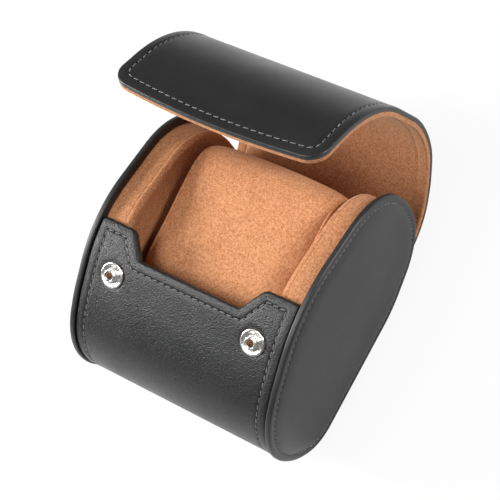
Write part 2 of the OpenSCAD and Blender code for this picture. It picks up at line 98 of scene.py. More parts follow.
def walk(arcs, first, start, last, end, step=1.0):
    """Points and outward normals along arcs and straights, from one direction to another."""
    points, normals = [], []
    for k in range(first, last + 1):
        centre, radius, begins, turn = arcs[k % len(arcs)]
        a = start if k == first else begins
        b = end if k == last else begins + turn
        count = max(2, math.ceil(math.radians(b - a) * radius / step) + 1)
        way = polar(np.linspace(a, b, count))
        points.extend(centre + radius * way)
        normals.extend(way)
        if k < last:
            centre, radius, begins, _ = arcs[(k + 1) % len(arcs)]
            goal = centre + radius * polar(begins)
            gap = np.linalg.norm(goal - points[-1])
            base = points[-1]
            for t in np.linspace(0, 1, max(2, math.ceil(gap / step) + 1))[1:-1]:
                points.append(base + (goal - base) * t)
                normals.append(polar(b))
    return np.array(points), np.array(normals)


def make(name, points, faces, material):
    """A mesh object from points in millimetres."""
    mesh = bpy.data.meshes.new(name)
    mesh.from_pydata([tuple(p) for p in np.asarray(points, float) * MM], [], [tuple(f) for f in faces])
    tidy = bmesh.new()
    tidy.from_mesh(mesh)
    bmesh.ops.remove_doubles(tidy, verts=tidy.verts, dist=1e-6)
    bmesh.ops.recalc_face_normals(tidy, faces=tidy.faces)
    tidy.to_mesh(mesh)
    tidy.free()
    mesh.polygons.foreach_set("use_smooth", [True] * len(mesh.polygons))
    mesh.materials.append(material)
    piece = bpy.data.objects.new(name, mesh)
    bpy.context.scene.collection.objects.link(piece)
    return piece


def loft(rings, cap=False):
    """Points and faces of closed rings joined in order, with a fan over the last one."""
    count = len(rings[0])
    points = [p for ring in rings for p in ring]
    faces = []
    for j in range(len(rings) - 1):
        for i in range(count):
            a, b = j * count + i, j * count + (i + 1) % count
            faces.append((a, b, b + count, a + count))
    if cap:
        points.append(np.mean(rings[-1], axis=0))
        last = (len(rings) - 1) * count
        faces.extend((last + i, last + (i + 1) % count, len(points) - 1) for i in range(count))
    return points, faces


class Wire:
    """A shader value that adds its own Math nodes when it is used in an expression."""

    def __init__(self, shade, socket):
        self.shade, self.socket = shade, socket

    def _math(self, operation, a, b):
        return self.shade.node("ShaderNodeMath", {"operation": operation}, {0: a, 1: b})

    def __add__(self, other):
        return self._math("ADD", self, other)

    def __radd__(self, other):
        return self._math("ADD", other, self)

    def __sub__(self, other):
        return self._math("SUBTRACT", self, other)

    def __rsub__(self, other):
        return self._math("SUBTRACT", other, self)

    def __mul__(self, other):
        return self._math("MULTIPLY", self, other)

    def __rmul__(self, other):
        return self._math("MULTIPLY", other, self)

    def band(self, low, high, to_low=0.0, to_high=1.0):
        """The value carried from low..high to to_low..to_high, and held there."""
        return self.shade.node(
            "ShaderNodeMapRange", {"interpolation_type": "SMOOTHSTEP"},
            {"Value": self, "From Min": low, "From Max": high, "To Min": to_low, "To Max": to_high},
        )


class Shade:
    """One material, or the sky, built node by node."""

    def __init__(self, name, kind=bpy.data.materials):
        self.material = kind.new(name)
        self.material.use_nodes = True
        self.tree = self.material.node_tree
        self.tree.nodes.clear()

    def node(self, kind, settings=None, inputs=None, output=0):
        made = self.tree.nodes.new(kind)
        for key, value in (settings or {}).items():
            setattr(made, key, value)
        for key, value in (inputs or {}).items():
            if isinstance(value, Wire):
                self.tree.links.new(value.socket, made.inputs[key])
            elif made.inputs[key].type == "RGBA" and len(value) == 3:
                made.inputs[key].default_value = (*value, 1)
            else:
                made.inputs[key].default_value = value
        return Wire(self, made.outputs[output]) if made.outputs else None

    def place(self):
        return self.node("ShaderNodeTexCoord", output="Object")

    def noise(self, per_mm, detail=2.0, roughness=0.5):
        sockets = {"Vector": self.place(), "Scale": per_mm / MM, "Detail": detail, "Roughness": roughness}
        return self.node("ShaderNodeTexNoise", {}, sockets)

    def mix(self, factor, a, b):
        return self.node("ShaderNodeMix", {"data_type": "RGBA"}, {0: factor, 6: a, 7: b}, output=2)

    def bump(self, height, depth_mm):
        sockets = {"Height": height, "Distance": depth_mm * MM, "Strength": 1.0}
        return self.node("ShaderNodeBump", {}, sockets)

    def finish(self, **sockets):
        surface = self.node(
            "ShaderNodeBsdfPrincipled", {}, {k.replace("_", " "): v for k, v in sockets.items()}
        )
        self.node("ShaderNodeOutputMaterial", {}, {"Surface": surface})
        return self.material


def calf(name, tone, pebble_mm, pebble_depth, gloss):
    """Black calf leather: pebbled grain and fine pores, with faint rubbed patches."""
    shade = Shade(name)
    drift = shade.noise(0.05, 3)
    grain = shade.node(
        "ShaderNodeTexVoronoi", {"feature": "SMOOTH_F1"},
        {"Vector": shade.place(), "Scale": 1 / (pebble_mm * MM), "Smoothness": 0.6, "Randomness": 1.0},
    )
    pores = shade.noise(2.4, 3, 0.6)
    height = (1 - grain) * 0.75 + pores * 0.5
    dark = [c * 0.8 for c in tone]
    light = [c * 1.5 for c in tone]
    colour = shade.mix((height * 0.6 + drift * 0.5).band(0.35, 1.05), dark, light)
    return shade.finish(
        Base_Color=colour,
        Roughness=(drift * 0.5 + pores * 0.5).band(0.3, 0.7, gloss - 0.05, gloss + 0.08),
        Specular_IOR_Level=0.36,
        Normal=shade.bump(height, pebble_depth),
    )


BLACK = (0.0085, 0.0085, 0.0088)
# The side panels' leather is the shell's black drawn 2.1 times lighter: painted light.
panel_leather_painted_light = calf("panel_leather_painted_light", [c * 2.1 for c in BLACK], 0.55, 0.035, 0.42)

OUTLINE = rounded(CORNERS, RADII)
edge, outward = walk(OUTLINE, 0, OUTLINE[0][2], 9, OUTLINE[0][2] + 0.001, 1.2)
edge, outward = edge[:-1], outward[:-1]


def outline_ring(x, inward, draw=0.0):
    """The outline across x, set in from the edge and then drawn toward the middle of the panel."""
    flat = (edge - outward * inward) * (1 - draw) + FIELD_MIDDLE * draw
    return np.column_stack([np.full(len(flat), x), flat])


def panel_rings():
    """One side panel's leather as rings: pasted edge, back, rolled rim, pressed seam and crowned field."""
    rings = [outline_ring(PANEL_X + TURNED_T, TURNED_IN)]
    rings += [outline_ring(PANEL_X, inward) for inward in (TURNED_IN, 3, 0.7)]
    for a in np.radians([0, 30, 60, 90]):
        x = PANEL_X + BACK_ROUND - BACK_ROUND * math.cos(a)
        rings.append(outline_ring(x, BACK_ROUND - BACK_ROUND * math.sin(a)))
    for a in np.radians([0, 18, 36, 54, 72, 90]):
        x = RIM_X - RIM_ROUND + RIM_ROUND * math.sin(a)
        rings.append(outline_ring(x, RIM_ROUND - RIM_ROUND * math.cos(a)))
    rings.append(outline_ring(RIM_X + 0.03, 1.8))
    rings += [outline_ring(RIM_X - drop, SEAM_IN + offset) for offset, drop in SEAM_SHAPE]
    rings += [outline_ring(RIM_X + rise, inward) for inward, rise in FIELD_SHAPE]
    for t in (0.06, 0.14, 0.24, 0.36, 0.5, 0.64, 0.78, 0.9):
        rings.append(outline_ring(RIM_X + FIELD_RISE + CROWN_RISE * (1 - (1 - t) ** 2), FIELD_IN, t))
    return rings


def facing(points, side):
    """Points for the right-hand side of the case, or mirrored for the left."""
    points = np.array(points, float)
    points[:, 0] *= side
    return points


SIDES = (("left", -1), ("right", 1))
for side_name, side in SIDES:
    points, faces = loft(panel_rings(), cap=True)
    panel = make(f"side_panel_{side_name}", facing(points, side), faces, panel_leather_painted_light)
    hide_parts(f"side_leather_{side_name}")
    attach(panel, "case")

# ---- Stitching of the side panels -------------------------------------------------------------------
# A grey twisted thread, 2.4 mm to the stitch here and 3 mm along the shell and lid, drawn down into
# its holes along the pressed line. Each hole is drawn as a near-black blob: painted shade.

thread_shade = Shade("grey_thread")
# The thread's grey is its own; the darker bands, which fall where the twist's bump is low, are painted
# shade in its grooves.
twist_and_groove_shade = thread_shade.node(
    "ShaderNodeTexWave", {"wave_type": "BANDS", "bands_direction": "DIAGONAL"},
    {"Vector": thread_shade.place(), "Scale": 900.0, "Distortion": 1.5},
)
thread = thread_shade.finish(
    Base_Color=thread_shade.mix(twist_and_groove_shade, (0.05, 0.05, 0.053), (0.27, 0.27, 0.28)),
    Roughness=0.7,
    Sheen_Weight=0.2,
    Normal=thread_shade.bump(twist_and_groove_shade, 0.05),
)
# The holes of the stitches are drawn as near-black blobs: painted shade.
hole_shadow_shade = Shade("stitch_hole_shadow")
hole_shadow = hole_shadow_shade.finish(
    Base_Color=hole_shadow_shade.mix(hole_shadow_shade.noise(3.0), (0.002, 0.002, 0.002), (0.006, 0.006, 0.006)),
    Roughness=0.9,
    Specular_IOR_Level=0.1,
)


THREAD_WIDE, THREAD_HIGH = 0.17, 0.15
# Size of the near-black blob of painted shade at each hole.
HOLE_SHADOW_LONG, HOLE_SHADOW_WIDE, HOLE_SHADOW_HIGH = 0.42, 0.36, 0.07
STITCH_START, STITCH_END = 0.14, 0.86
PANEL_PITCH = 2.4


def blob(centre, along, across, up, long, wide, high, rows=6, sides=8):
    """A little lozenge of thread: points and faces of a stretched ball."""
    points, faces = [], []
    for j in range(rows + 1):
        t = math.pi * j / rows
        for i in range(sides):
            a = 2 * math.pi * i / sides
            reach = math.sin(t) ** 0.7
            points.append(
                centre - along * long * math.cos(t)
                + across * wide * reach * math.cos(a) + up * high * reach * math.sin(a)
            )
    for j in range(rows):
        for i in range(sides):
            a, b = j * sides + i, j * sides + (i + 1) % sides
            faces.append((a, b, b + sides, a + sides))
    return points, faces


def sew(name, line, normals, body, pitch=3.0, lift=0.12, closed=False, slant=0.12):
    """Stitches along a line of points, with a blob of painted shade for each hole between, as one piece."""
    line, normals = np.array(line), np.array(normals)
    if closed:
        line, normals = np.vstack([line, line[:1]]), np.vstack([normals, normals[:1]])
    run = np.concatenate([[0], np.cumsum(np.linalg.norm(np.diff(line, axis=0), axis=1))])
    count = max(1, round(run[-1] / pitch))
    pitch = run[-1] / count

    def at(s, data):
        s = min(max(s, 0), run[-1])
        return np.array([np.interp(s, run, data[:, k]) for k in range(3)])

    points, faces, kinds = [], [], []
    for i in range(count):
        a, b = at((i + STITCH_START) * pitch, line), at((i + STITCH_END) * pitch, line)
        up = at((i + 0.5) * pitch, normals)
        up /= np.linalg.norm(up)
        length = np.linalg.norm(b - a)
        along = (b - a) / length
        across = np.cross(up, along)
        centre = at((i + 0.5) * pitch, line) + up * lift
        tilted = along + across * slant
        tilted /= np.linalg.norm(tilted)
        # A near-black blob of painted shade marks the hole.
        hole_shadow_at = at(i * pitch, line) + up * 0.02
        parts = [
            (centre, tilted, np.cross(up, tilted), length / 2, THREAD_WIDE, THREAD_HIGH, 0),
            (hole_shadow_at, along, across, HOLE_SHADOW_LONG, HOLE_SHADOW_WIDE, HOLE_SHADOW_HIGH, 1),
        ]
        for middle, lengthways, sideways, long, wide, high, kind in parts:
            more, skin = blob(middle, lengthways, sideways, up, long, wide, high)
            faces.extend(tuple(len(points) + k for k in f) for f in skin)
            points.extend(more)
            kinds.extend([kind] * len(skin))
    piece = make(name, points, faces, thread)
    piece.data.materials.append(hole_shadow)
    middles = {}
    for f, kind in zip(faces, kinds):
        middles[tuple(np.round(np.mean([points[k] for k in f], axis=0), 3))] = kind
    for polygon in piece.data.polygons:
        polygon.material_index = middles.get(tuple(np.round(np.array(polygon.center) / MM, 3)), 0)
    if body:
        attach(piece, body)
    return piece


for side_name, side in SIDES:
    seam = facing(outline_ring(RIM_X - SEAM_DIP, SEAM_IN), side)
    outside = facing(np.tile([1.0, 0, 0], (len(seam), 1)), side)
    sew(f"panel_stitches_{side_name}", seam, outside, "case", pitch=PANEL_PITCH, closed=True)

# ---- Filler blocks ----------------------------------------------------------------------------------
# A foam block inside each side panel, covered in suede: a flat inner face, sewn along its edge to a
# band that rolls over the block's rim. Under the front shell and at the fold the rim is cut lower.

TAN_LIGHT = (0.52, 0.25, 0.122)
TAN_DARK = (0.24, 0.086, 0.033)


def suede(name, light, dark, depth=0.09):
    """Suede: a short felted nap, brushed lighter and darker in patches."""
    shade = Shade(name)
    nap = shade.noise(1.6, 2, 0.75)
    tuft = shade.noise(0.8, 3, 0.65)
    brushed = shade.noise(0.04, 3, 0.55)
    factor = nap * 0.85 + tuft * 0.6 + brushed * 0.25
    return shade.finish(
        Base_Color=shade.mix(factor.band(0.5, 1.15), dark, light),
        Roughness=(nap + tuft).band(0.6, 1.4, 0.82, 0.98),
        Specular_IOR_Level=0.15,
        Sheen_Weight=0.2,
        Sheen_Roughness=0.5,
        Sheen_Tint=(1.0, 0.72, 0.5, 1),
        Normal=shade.bump(nap * 0.6 + tuft * 0.6, depth),
    )


tan_suede = suede("tan_suede", TAN_LIGHT, TAN_DARK)

BLOCK_X, BLOCK_ROUND = 33.2, 2.1
BLOCK_SEAM = [(35.9, 0.05), (35.65, 0.28), (35.4, 0.06)]
RIM_LOW, RIM_BARE = 4.12, 0.5
REAR_FROM, UPPER_FROM = 20, 40
TAB_ANGLE = math.degrees(math.acos((-6.2 - OUTLINE[CROWN][0][0]) / RADII[CROWN]))
HINGE_ANGLE = 298


def bare_rim(points):
    """1 where a point of the outline is on the open part of the rim, 0 under the shell."""
    low = polar(HINGE_ANGLE + 6)
    tab = OUTLINE[CROWN][0] + RADII[CROWN] * polar(TAB_ANGLE)
    beyond_hinge = (points - OUTLINE[LOW_BACK][0]) @ np.array([-low[1], low[0]])
    behind_tab = points[:, 0] - tab[0]
    past_tab = np.clip((behind_tab - 0.2) / 0.4, 0, 1)
    past_hinge = np.clip(beyond_hinge / 0.6, 0, 1) * (points[:, 0] > REAR_FROM)
    return np.where(points[:, 1] > UPPER_FROM, past_tab, past_hinge)


rim_depth = RIM_LOW - RIM_BARE * bare_rim(edge)


def block_ring(x, inward, draw=0.0):
    """The block's outline across x, set in from its rim and then drawn toward its middle."""
    flat = (edge - outward * (rim_depth + inward)[:, None]) * (1 - draw) + FIELD_MIDDLE * draw
    return np.column_stack([np.full(len(flat), x), flat])


for side_name, side in SIDES:
    rings = [block_ring(x, 0) for x in (PANEL_X, 41, 38, 36.3)]
    rings += [block_ring(x, inward) for x, inward in BLOCK_SEAM]
    for a in np.radians([10, 30, 50, 70, 90]):
        x = BLOCK_X + BLOCK_ROUND * (1 - math.sin(a))
        rings.append(block_ring(x, BLOCK_ROUND * (1 - math.cos(a))))
    rings += [block_ring(BLOCK_X, 3), block_ring(BLOCK_X, 6)]
    rings += [block_ring(BLOCK_X, 6, t) for t in (0.2, 0.45, 0.75)]
    points, faces = loft(rings, cap=True)
    block = make(f"block_cover_{side_name}", facing(points, side), faces, tan_suede)
    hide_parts(f"block_suede_{side_name}")
    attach(block, "case")

# ---- Leather of the shell and lid -------------------------------------------------------------------
# One run of pebbled leather, from the two tabs down the front, under the case, up through the hinge
# fold and over the lid. Its edges are rolled, and sewn along a line 4 mm in.

HALF_W = 43.3
SHELL_SINK = 0.8
LID_T = 3.8
LID_RISES = [0.5, 0.5, 0.5, 0.5, 4.5, 3.9, 3.9, 0.5, 0.5]
NOTCH_DEPTH, NOTCH_LOW, NOTCH_TOP = 10.0, 22.3, 29.0
SNAP = np.array([31.3, -24.3])
FLAP_REACH, FLAP_BOW, FLAP_CORNER = 19.3, 3.0, 8.0
FOLD_ANGLE = 49
BACK_OPEN, FLAP_OPEN = 39.0, 19.0
TAB_ROUND = 1.8
SEW_IN = 3.9
STUD_HOLE, SOCKET_HOLE, SNAP_CLEAR = 4.3, 4.4, 6


def lifted(corners, rises):
    """Corners moved outward, each by its own distance, off both of the edges that meet there."""
    corners = np.array(corners, float)
    runs = np.roll(corners, -1, 0) - corners
    headings = np.degrees(np.arctan2(runs[:, 1], runs[:, 0]))
    found = []
    for i, rise in enumerate(rises):
        n1, n2 = polar(headings[i - 1] - 90), polar(headings[i] - 90)
        found.append(np.linalg.solve(np.array([n1, n2]), [n1 @ corners[i] + rise, n2 @ corners[i] + rise]))
    return found


def smooth(t):
    """A soft step from 0 to 1."""
    t = np.clip(t, 0, 1)
    return t * t * (3 - 2 * t)


LID_LINE = rounded(lifted(CORNERS, LID_RISES), np.array(RADII) + LID_RISES)
ROLL_FROM, ROLL_TO, LID_OVERRUN = 292, 305, 28
shell_points, shell_normals = walk(OUTLINE, CROWN, TAB_ANGLE, len(CORNERS) + LOW_BACK, ROLL_FROM - 0.3)
shell_points = shell_points - shell_normals * SHELL_SINK
low_centre, low_r = OUTLINE[LOW_BACK][0], RADII[LOW_BACK]
turns = np.arange(ROLL_FROM + 0.5, ROLL_TO + 0.6, 1.0)
rise = smooth((turns - ROLL_FROM) / (ROLL_TO - ROLL_FROM))
fold_normals = polar(turns)
fold_points = low_centre + (low_r - SHELL_SINK + (SHELL_SINK + 0.5) * rise)[:, None] * fold_normals
lid_end = LID_LINE[NOSE][2] + LID_OVERRUN
lid_points, lid_normals = walk(LID_LINE, LOW_BACK, ROLL_TO + 1.5, NOSE, lid_end)
closed_line = np.vstack([shell_points, fold_points, lid_points])
closed_normal = np.vstack([shell_normals, fold_normals, lid_normals])
arc_s = np.concatenate([[0], np.cumsum(np.linalg.norm(np.diff(closed_line, axis=0), axis=1))])


def s_near(point, low=0.0, high=1e9):
    """How far along the run of leather the point nearest to this one lies."""
    ok = (arc_s >= low) & (arc_s <= high)
    gaps = np.where(ok, np.linalg.norm(closed_line - point, axis=1), 1e9)
    return arc_s[np.argmin(gaps)]


hinge_mid = low_centre + (low_r - SHELL_SINK - 1.6) * polar(HINGE_ANGLE)
fold_mid = LID_LINE[SHOULDER][0] + (LID_LINE[SHOULDER][1] - LID_T / 2) * polar(FOLD_ANGLE)
S_HINGE = np.interp(HINGE_ANGLE, turns, arc_s[len(shell_points):len(shell_points) + len(turns)])
S_FOLD = s_near(fold_mid + polar(FOLD_ANGLE) * LID_T / 2, S_HINGE)
slope_normal = polar(OUTLINE[SLOPE][2])
snap_foot = OUTLINE[CROWN][0] + RADII[CROWN] * slope_normal
slope_run = polar(OUTLINE[SLOPE][2] + 90)
snap_foot = snap_foot + slope_run * (SNAP[1] - snap_foot[0]) / slope_run[0] - SHELL_SINK * slope_normal
S_SNAP = s_near(snap_foot, 0, 60)
SNAP_GAP = 0.9
S_LID_SNAP = s_near(snap_foot + slope_normal * (LID_T + SNAP_GAP), S_FOLD)
S_FRONT = S_LID_SNAP + FLAP_REACH
HINGE_ZONE, FOLD_ZONE = 4.5, 16.0


def turned(points, centre, degrees):
    """Points of the side view, each turned about the centre by its own angle."""
    a = np.radians(degrees)
    offset = points - centre
    y = offset[:, 0] * np.cos(a) - offset[:, 1] * np.sin(a)
    z = offset[:, 0] * np.sin(a) + offset[:, 1] * np.cos(a)
    return centre + np.column_stack([y, z])


def opening(s, zone_middle, zone, angle):
    """How far the run has turned at s, in degrees, in a bend spread over the zone."""
    return -angle * smooth((s - zone_middle + zone) / (2 * zone))


def open_run():
    """The run of leather with the lid open. Each bend keeps the leather's length, and ends on its turn."""
    grid = np.arange(0, arc_s[-1], 0.2)
    line = np.column_stack([np.interp(grid, arc_s, closed_line[:, k]) for k in (0, 1)])
    back = opening(grid, S_HINGE, HINGE_ZONE, BACK_OPEN)
    flap = opening(grid, S_FOLD, FOLD_ZONE, FLAP_OPEN)
    origin = np.zeros(2)
    steps = turned(np.diff(line, axis=0), origin, (back + flap)[1:])
    found = np.vstack([line[:1], line[0] + np.cumsum(steps, axis=0)])
    for middle, zone in ((S_HINGE, HINGE_ZONE), (S_FOLD, FOLD_ZONE)):
        end = np.argmin(np.abs(grid - middle - zone))
        goal = line[end:end + 1]
        if middle == S_FOLD:
            goal = turned(goal, fold_mid, np.array([-FLAP_OPEN]))
        goal = turned(goal, hinge_mid, np.array([-BACK_OPEN]))
        found += (goal - found[end]) * smooth((grid - middle + zone) / (2 * zone))[:, None]
    return grid, found, back + flap


OPEN_S, OPEN_LINE, OPEN_TURN = open_run()


def place(x, s, h):
    """Points of the run of leather: across x, along s from the tabs, h over its outer face."""
    x, s, h = (np.asarray(v, float) for v in (x, s, h))
    line = np.column_stack([np.interp(s, OPEN_S, OPEN_LINE[:, k]) for k in (0, 1)])
    normal = np.column_stack([np.interp(s, arc_s, closed_normal[:, k]) for k in (0, 1)])
    normal /= np.linalg.norm(normal, axis=1)[:, None]
    normal = turned(normal, np.zeros(2), np.interp(s, OPEN_S, OPEN_TURN))
    return np.column_stack([x, line + normal * h[:, None]])


def front_edge(x, half=HALF_W, reach=S_FRONT, corner=FLAP_CORNER):
    """Where the flap's bowed and rounded front edge lies, along s."""
    x = np.abs(np.asarray(x, float))
    inner = half - corner
    bow = FLAP_BOW / half ** 2
    corner_top = reach - bow * inner ** 2 - corner
    round_part = corner_top + np.sqrt(np.clip(corner ** 2 - (x - inner) ** 2, 0, None))
    return np.where(x <= inner, reach - bow * x ** 2, round_part)


def leather_outline(inset=0.0):
    """The whole run of leather laid flat, as (x, s), set in all round."""
    slant = math.atan((NOTCH_TOP - NOTCH_LOW) / NOTCH_DEPTH)
    low = NOTCH_LOW + inset * (1 / math.cos(slant) - math.tan(slant))
    top = low + NOTCH_DEPTH * math.tan(slant)
    w = HALF_W - inset
    half = [(w, inset), (top, inset), (low, NOTCH_DEPTH + inset)]
    if not inset:
        r, slope = TAB_ROUND, np.array([-math.sin(slant), math.cos(slant)])
        outer = [(w - r + r * math.sin(a), r - r * math.cos(a)) for a in np.linspace(math.pi / 2, 0, 7)]
        bends = [(r - r * math.cos(a), r - r * math.sin(a)) for a in np.linspace(math.pi / 2, 0, 7)]
        half = outer + [tuple(np.array([top + a, 0]) + b * slope) for a, b in bends] + half[2:]
    start = half + [(-x, y) for x, y in half[::-1]]
    xs = -w * np.cos(np.linspace(0, math.pi, 121))
    front = front_edge(xs, w, S_FRONT - inset, max(FLAP_CORNER - inset, 1.5))
    return np.array(start + list(zip(xs, front)))


def soften(x, s):
    """Rounds the corners of the tabs by drawing the flat points near them inward."""
    side, x = np.sign(x), np.abs(x)
    r, slant = TAB_ROUND, math.atan((NOTCH_TOP - NOTCH_LOW) / NOTCH_DEPTH)
    for corner, along, down in (
        (HALF_W, np.array([-1.0, 0.0]), np.array([0.0, 1.0])),
        (NOTCH_TOP, np.array([1.0, 0.0]), np.array([-math.sin(slant), math.cos(slant)])),
    ):
        b = s / down[1]
        a = (x - corner - b * down[0]) / along[0]
        near = (a > -0.01) & (a < r) & (b < r)
        va, vb = r - a[near], r - b[near]
        pull = np.maximum(va, vb) / np.maximum(np.hypot(va, vb), 1e-9)
        a[near], b[near] = r - va * pull, r - vb * pull
        x = np.where(near, corner + a * along[0] + b * down[0], x)
        s = np.where(near, b * down[1], s)
    return side * x, s


def edge_gap(x, s, outline):
    """Distance of each flat point from the nearest edge of the outline."""
    p = np.column_stack([x, s])
    best = np.full(len(p), 1e9)
    for a, b in zip(outline, np.roll(outline, -1, 0)):
        d = b - a
        t = np.clip(((p - a) @ d) / (d @ d + 1e-12), 0, 1)
        best = np.minimum(best, np.linalg.norm(p - a - t[:, None] * d, axis=1))
    return best


FLAT = leather_outline()
shell_leather = calf("shell_leather", BLACK, 0.45, 0.2, 0.36)
# The lid's leather is the same run as the shell's, drawn 1.6 times lighter: painted light.
lid_leather_painted_light = calf("lid_leather_painted_light", [c * 1.6 for c in BLACK], 0.42, 0.06, 0.35)
EDGE_STEPS = [0, 0.08, 0.25, 0.55, 1.0, 1.6, 2.4, 3.1, 3.5, 3.75, 3.9, 4.05, 4.3, 4.8, 5.6]


def ridge(gap, middle, width):
    """1 along a line at its distance from the edge, and less beside it."""
    return np.exp(-(((gap - middle) / width) ** 2))


def leather_height(gap, roll=0.9, swell=0.12, press=0.28):
    """The rolled edge, the swell behind it, and the line pressed in by the stitches."""
    inside = np.clip(1 - gap / roll, 0, 1)
    rolled = -roll * (1 - np.sqrt(1 - inside ** 2))
    return rolled + swell * ridge(gap, 2.2, 1.2) - press * ridge(gap, SEW_IN, 0.42)


def columns(s):
    """The x of each grid column at s, following the notch's sides."""
    w = np.interp(s, [0, NOTCH_DEPTH], [NOTCH_TOP, NOTCH_LOW])
    outer = [HALF_W - e for e in EDGE_STEPS]
    notch_side = [w + e for e in EDGE_STEPS]
    between = list(np.linspace(notch_side[-1], outer[-1], 9)[1:-1])
    right = notch_side + between + outer[::-1]
    middle = list(np.linspace(-w, w, 46)[1:-1])
    return np.array([-v for v in right[::-1]] + middle + right), len(right)


def rows_to(start, end, extra=(), step=1.1):
    found = list(np.arange(start, end, step)) + [end] + list(extra)
    return np.unique(np.round([v for v in found if start <= v <= end], 4))


def skin(rows, levels, height, front=None, snaps=None, fit=soften):
    """A grid over the flat leather, with its edges turned down through the levels: (x, s, h) and faces."""
    xs, ss, faces = [], [], []
    width = None
    for s in rows:
        x, side_count = columns(s)
        width = len(x)
        along = np.full(len(x), s)
        if front is not None:
            along = front(x, s)
        xs.append(x)
        ss.append(along)
    for j in range(len(rows) - 1):
        cut = rows[j + 1] <= NOTCH_DEPTH + 1e-6
        for i in range(width - 1):
            if cut and side_count - 1 <= i <= width - side_count - 1:
                continue
            a = j * width + i
            faces.append((a, a + 1, a + 1 + width, a + width))
    x, s = fit(np.concatenate(xs), np.concatenate(ss))
    from_snap = np.full(len(x), 99.0)
    if snaps:
        place_s, radius = snaps
        from_snap = np.hypot(np.abs(x) - SNAP[0], s - place_s)
        faces = [f for f in faces if all(from_snap[k] > radius for k in f)]
    used = {(a, b) for f in faces for a, b in zip(f, f[1:] + f[:1])}
    rim = [(a, b) for a, b in used if (b, a) not in used and from_snap[a] > SNAP_CLEAR]
    names = sorted({k for pair in rim for k in pair})
    x, s, h = list(x), list(s), list(height(x, s))
    previous = {k: k for k in names}
    for level in levels:
        fresh = {}
        for k in names:
            fresh[k] = len(x)
            x.append(x[k])
            s.append(s[k])
            h.append(level)
        for a, b in rim:
            faces.append((previous[b], previous[a], fresh[a], fresh[b]))
        previous = fresh
    return np.array(x), np.array(s), np.array(h), faces


S_SPLIT = S_HINGE + HINGE_ZONE + 1.5
edge_rows = list(EDGE_STEPS)
edge_rows += [NOTCH_DEPTH + e for e in EDGE_STEPS]
edge_rows += [NOTCH_DEPTH - e for e in EDGE_STEPS[:6]]
snap_rows = list(np.arange(S_SNAP - 6.5, S_SNAP + 6.6, 0.5))
hinge_rows = list(np.arange(S_HINGE - 7, S_SPLIT, 0.6))


def shell_height(x, s):
    pressed = np.hypot(np.abs(x) - SNAP[0], s - S_SNAP)
    return leather_height(edge_gap(x, s, FLAT)) - 0.25 * smooth((6.4 - pressed) / 1.6)


shell_rows = rows_to(0, S_SPLIT, edge_rows + snap_rows + hinge_rows)
x, s, h, faces = skin(shell_rows, [-2.0, -3.15], shell_height, snaps=(S_SNAP, STUD_HOLE))
shell = make("shell_skin", place(x, s, h), faces, shell_leather)
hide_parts("shell_leather", "hinge_fold")
hinge_from = place([0], [S_HINGE - HINGE_ZONE], [0])[0] * MM
hinge_to = place([0], [S_HINGE + HINGE_ZONE], [0])[0] * MM
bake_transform(shell)

FRONT_START = S_FRONT - 34


def toward_front(x, s):
    """Rows near the flap's front follow its bowed edge."""
    share = np.clip((s - FRONT_START) / (S_FRONT - FRONT_START), 0, 1)
    return np.where(s < FRONT_START, s, FRONT_START + share * (front_edge(x) - FRONT_START))


def lid_height(x, s):
    return leather_height(edge_gap(x, s, FLAT), roll=0.6)


front_rows = [S_FRONT - e for e in EDGE_STEPS]
fold_rows = list(np.arange(S_FOLD - FOLD_ZONE, S_FOLD + FOLD_ZONE, 0.8))
lid_rows = rows_to(S_SPLIT, S_FRONT, front_rows + fold_rows)
x, s, h, faces = skin(lid_rows, [-1.2, -1.75], lid_height, front=toward_front)
lid = make("lid_skin", place(x, s, h), faces, lid_leather_painted_light)
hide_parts("lid_back_leather", "flap_leather", "flap_fold")
fold_from = place([0], [S_FOLD - FOLD_ZONE], [0])[0] * MM
fold_to = place([0], [S_FOLD + FOLD_ZONE], [0])[0] * MM
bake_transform(lid)

# ---- Stitching of the shell and lid -----------------------------------------------------------------
# The same grey thread, in one line that follows every edge of the leather 4 mm in: round the tabs and
# the notch, down both sides, through the hinge fold, and round the flap's front.


def fine(line, step=0.5):
    """A line of flat points with more of them between."""
    found = []
    for a, b in zip(line[:-1], line[1:]):
        count = max(1, math.ceil(np.linalg.norm(b - a) / step))
        found.extend(a + (b - a) * t for t in np.linspace(0, 1, count, endpoint=False))
    return np.array(found + [line[-1]])


def on_leather(line, lift=-0.2):
    """Points and normals on the open leather for a flat line."""
    foot = place(line[:, 0], line[:, 1], np.full(len(line), lift))
    top = place(line[:, 0], line[:, 1], np.full(len(line), lift + 1))
    return foot, top - foot


seam_flat = leather_outline(SEW_IN)
around_tabs = seam_flat[:6]
around_front = seam_flat[6:]
for side_name, side in SIDES:
    w = (HALF_W - SEW_IN) * side
    tab = [p for p in around_tabs if p[0] * side > 0]
    tab = tab if side > 0 else tab[::-1]
    down = fine(np.array([(w, SEW_IN), (w, S_SPLIT)]))
    stitches = sew(f"shell_stitches_{side_name}", *on_leather(down), None)
    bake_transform(stitches)
    corner = front_edge([abs(w)], HALF_W - SEW_IN, S_FRONT - SEW_IN, FLAP_CORNER - SEW_IN)[0]
    up = fine(np.array([(w, S_SPLIT), (w, corner)]))
    stitches = sew(f"lid_stitches_{side_name}", *on_leather(up), None)
    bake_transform(stitches)
sew("tab_stitches", *on_leather(fine(around_tabs)), "case")
sew("front_stitches", *on_leather(fine(around_front)), "lid_flap")

# ---- Suede lining of the lid ------------------------------------------------------------------------
# Thick suede over wadding, pasted to the leather's back and cut flush with it, so that it shows as a
# tan edge all round. A line of stitches from the leather shows through as a fine groove.

